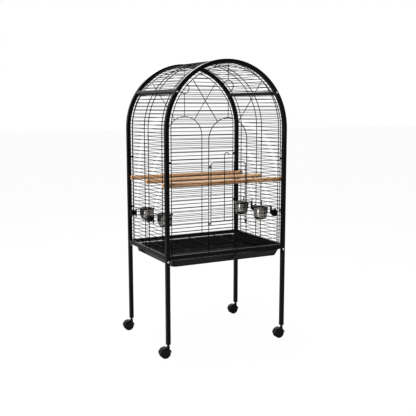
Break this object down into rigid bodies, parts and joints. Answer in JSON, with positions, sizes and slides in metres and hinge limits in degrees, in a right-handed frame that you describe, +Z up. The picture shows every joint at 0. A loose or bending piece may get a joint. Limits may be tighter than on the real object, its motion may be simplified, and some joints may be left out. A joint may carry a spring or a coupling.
{
  "type": "bird cage on wheeled stand",
  "caption": "Black wire bird cage with a barrel-vaulted top, lift-up front door, slide-out tray, wooden perches and food cups, on a stand with casters.",
  "frame": {"origin": "on the floor, under the centre of the whole object's bounding box", "axes": "+X to the right along the front, +Y from the front to the back, +Z up"},
  "size_m": [0.7032, 0.504, 1.401],
  "materials": {
    "black_tube": "satin powder coat",
    "black_wire": "satin powder coat",
    "caster_nylon": "satin",
    "axle_steel": "ground",
    "wheel_tread": "matt",
    "plug_plastic": "matt",
    "zinc": "bright zinc",
    "clip_plastic": "satin",
    "perch_wood": "sanded",
    "cup_steel": "polished",
    "holder_plastic": "satin",
    "tray_plastic": "satin"
  },
  "bodies": {
    "cage": {"front_arch": "black_tube", "rear_arch": "black_tube", "ridge_tube": "black_tube", "left_shoulder_tube": "black_tube", "right_shoulder_tube": "black_tube", "front_rail": "black_tube", "rear_rail": "black_tube", "left_rail": "black_tube", "right_rail": "black_tube", "front_left_leg": "black_tube", "front_right_leg": "black_tube", "rear_left_leg": "black_tube", "rear_right_leg": "black_tube", "leg_plugs": "plug_plastic", "leg_bolts": "zinc", "cross_tube_screws": "zinc", "panel_clips": "clip_plastic", "front_panel": "black_wire", "rear_panel": "black_wire", "left_panel": "black_wire", "right_panel": "black_wire", "left_roof_panel": "black_wire", "right_roof_panel": "black_wire", "door_guide": "black_wire", "front_perch": "perch_wood", "middle_perch": "perch_wood", "rear_perch": "perch_wood", "left_front_cup_holder": "holder_plastic", "left_rear_cup_holder": "holder_plastic", "right_front_cup_holder": "holder_plastic", "right_rear_cup_holder": "holder_plastic", "left_runner": "black_tube", "right_runner": "black_tube"},
    "front_left_caster_swivel": {"front_left_caster": "caster_nylon", "front_left_axle": "axle_steel"},
    "front_left_outer_wheel": {"front_left_outer_wheel": "wheel_tread"},
    "front_left_inner_wheel": {"front_left_inner_wheel": "wheel_tread"},
    "front_right_caster_swivel": {"front_right_caster": "caster_nylon", "front_right_axle": "axle_steel"},
    "front_right_outer_wheel": {"front_right_outer_wheel": "wheel_tread"},
    "front_right_inner_wheel": {"front_right_inner_wheel": "wheel_tread"},
    "rear_left_caster_swivel": {"rear_left_caster": "caster_nylon", "rear_left_axle": "axle_steel"},
    "rear_left_outer_wheel": {"rear_left_outer_wheel": "wheel_tread"},
    "rear_left_inner_wheel": {"rear_left_inner_wheel": "wheel_tread"},
    "rear_right_caster_swivel": {"rear_right_caster": "caster_nylon", "rear_right_axle": "axle_steel"},
    "rear_right_outer_wheel": {"rear_right_outer_wheel": "wheel_tread"},
    "rear_right_inner_wheel": {"rear_right_inner_wheel": "wheel_tread"},
    "left_front_cup": {"left_front_cup": "cup_steel"},
    "left_front_hand_nut": {"left_front_hand_nut": "holder_plastic"},
    "left_rear_cup": {"left_rear_cup": "cup_steel"},
    "left_rear_hand_nut": {"left_rear_hand_nut": "holder_plastic"},
    "right_front_cup": {"right_front_cup": "cup_steel"},
    "right_front_hand_nut": {"right_front_hand_nut": "holder_plastic"},
    "right_rear_cup": {"right_rear_cup": "cup_steel"},
    "right_rear_hand_nut": {"right_rear_hand_nut": "holder_plastic"},
    "door": {"door": "black_wire"},
    "floor_grate": {"floor_grate": "black_wire"},
    "tray": {"tray": "tray_plastic"}
  },
  "joints": [
    {"name": "front_left_swivel", "type": "hinge", "parent": "cage", "child": "front_left_caster_swivel", "pos_m": [-0.30575, -0.237, 0.06], "axis": [0, 0, 1], "continuous": true},
    {"name": "front_left_outer_wheel_spin", "type": "hinge", "parent": "front_left_caster_swivel", "child": "front_left_outer_wheel", "pos_m": [-0.32375, -0.237, 0.025], "axis": [0, 1, 0], "continuous": true},
    {"name": "front_left_inner_wheel_spin", "type": "hinge", "parent": "front_left_caster_swivel", "child": "front_left_inner_wheel", "pos_m": [-0.32375, -0.237, 0.025], "axis": [0, 1, 0], "continuous": true},
    {"name": "front_right_swivel", "type": "hinge", "parent": "cage", "child": "front_right_caster_swivel", "pos_m": [0.33525, -0.237, 0.06], "axis": [0, 0, 1], "continuous": true},
    {"name": "front_right_outer_wheel_spin", "type": "hinge", "parent": "front_right_caster_swivel", "child": "front_right_outer_wheel", "pos_m": [0.31725, -0.237, 0.025], "axis": [0, 1, 0], "continuous": true},
    {"name": "front_right_inner_wheel_spin", "type": "hinge", "parent": "front_right_caster_swivel", "child": "front_right_inner_wheel", "pos_m": [0.31725, -0.237, 0.025], "axis": [0, 1, 0], "continuous": true},
    {"name": "rear_left_swivel", "type": "hinge", "parent": "cage", "child": "rear_left_caster_swivel", "pos_m": [-0.30575, 0.237, 0.06], "axis": [0, 0, 1], "continuous": true},
    {"name": "rear_left_outer_wheel_spin", "type": "hinge", "parent": "rear_left_caster_swivel", "child": "rear_left_outer_wheel", "pos_m": [-0.32375, 0.237, 0.025], "axis": [0, 1, 0], "continuous": true},
    {"name": "rear_left_inner_wheel_spin", "type": "hinge", "parent": "rear_left_caster_swivel", "child": "rear_left_inner_wheel", "pos_m": [-0.32375, 0.237, 0.025], "axis": [0, 1, 0], "continuous": true},
    {"name": "rear_right_swivel", "type": "hinge", "parent": "cage", "child": "rear_right_caster_swivel", "pos_m": [0.33525, 0.237, 0.06], "axis": [0, 0, 1], "continuous": true},
    {"name": "rear_right_outer_wheel_spin", "type": "hinge", "parent": "rear_right_caster_swivel", "child": "rear_right_outer_wheel", "pos_m": [0.31725, 0.237, 0.025], "axis": [0, 1, 0], "continuous": true},
    {"name": "rear_right_inner_wheel_spin", "type": "hinge", "parent": "rear_right_caster_swivel", "child": "rear_right_inner_wheel", "pos_m": [0.31725, 0.237, 0.025], "axis": [0, 1, 0], "continuous": true},
    {"name": "door_lift", "type": "slide", "parent": "cage", "child": "door", "axis": [0, 0, 1], "range_m": [0, 0.25]},
    {"name": "tray_slide", "type": "slide", "parent": "cage", "child": "tray", "axis": [0, -1, 0], "range_m": [0, 0.36]},
    {"name": "grate_lift", "type": "slide", "parent": "cage", "child": "floor_grate", "axis": [0, 0, 1], "range_m": [0, 0.08]},
    {"name": "left_front_cup_lift", "type": "slide", "parent": "cage", "child": "left_front_cup", "axis": [0, 0, 1], "range_m": [0, 0.06]},
    {"name": "left_front_nut_turn", "type": "hinge", "parent": "cage", "child": "left_front_hand_nut", "pos_m": [-0.31325, -0.035, 0.63858], "axis": [1, 0, 0], "continuous": true},
    {"name": "left_rear_cup_lift", "type": "slide", "parent": "cage", "child": "left_rear_cup", "axis": [0, 0, 1], "range_m": [0, 0.06]},
    {"name": "left_rear_nut_turn", "type": "hinge", "parent": "cage", "child": "left_rear_hand_nut", "pos_m": [-0.31325, 0.191, 0.63858], "axis": [1, 0, 0], "continuous": true},
    {"name": "right_front_cup_lift", "type": "slide", "parent": "cage", "child": "right_front_cup", "axis": [0, 0, 1], "range_m": [0, 0.06]},
    {"name": "right_front_nut_turn", "type": "hinge", "parent": "cage", "child": "right_front_hand_nut", "pos_m": [0.34275, -0.15, 0.63858], "axis": [1, 0, 0], "continuous": true},
    {"name": "right_rear_cup_lift", "type": "slide", "parent": "cage", "child": "right_rear_cup", "axis": [0, 0, 1], "range_m": [0, 0.06]},
    {"name": "right_rear_nut_turn", "type": "hinge", "parent": "cage", "child": "right_rear_hand_nut", "pos_m": [0.34275, 0.041, 0.63858], "axis": [1, 0, 0], "continuous": true}
  ]
}
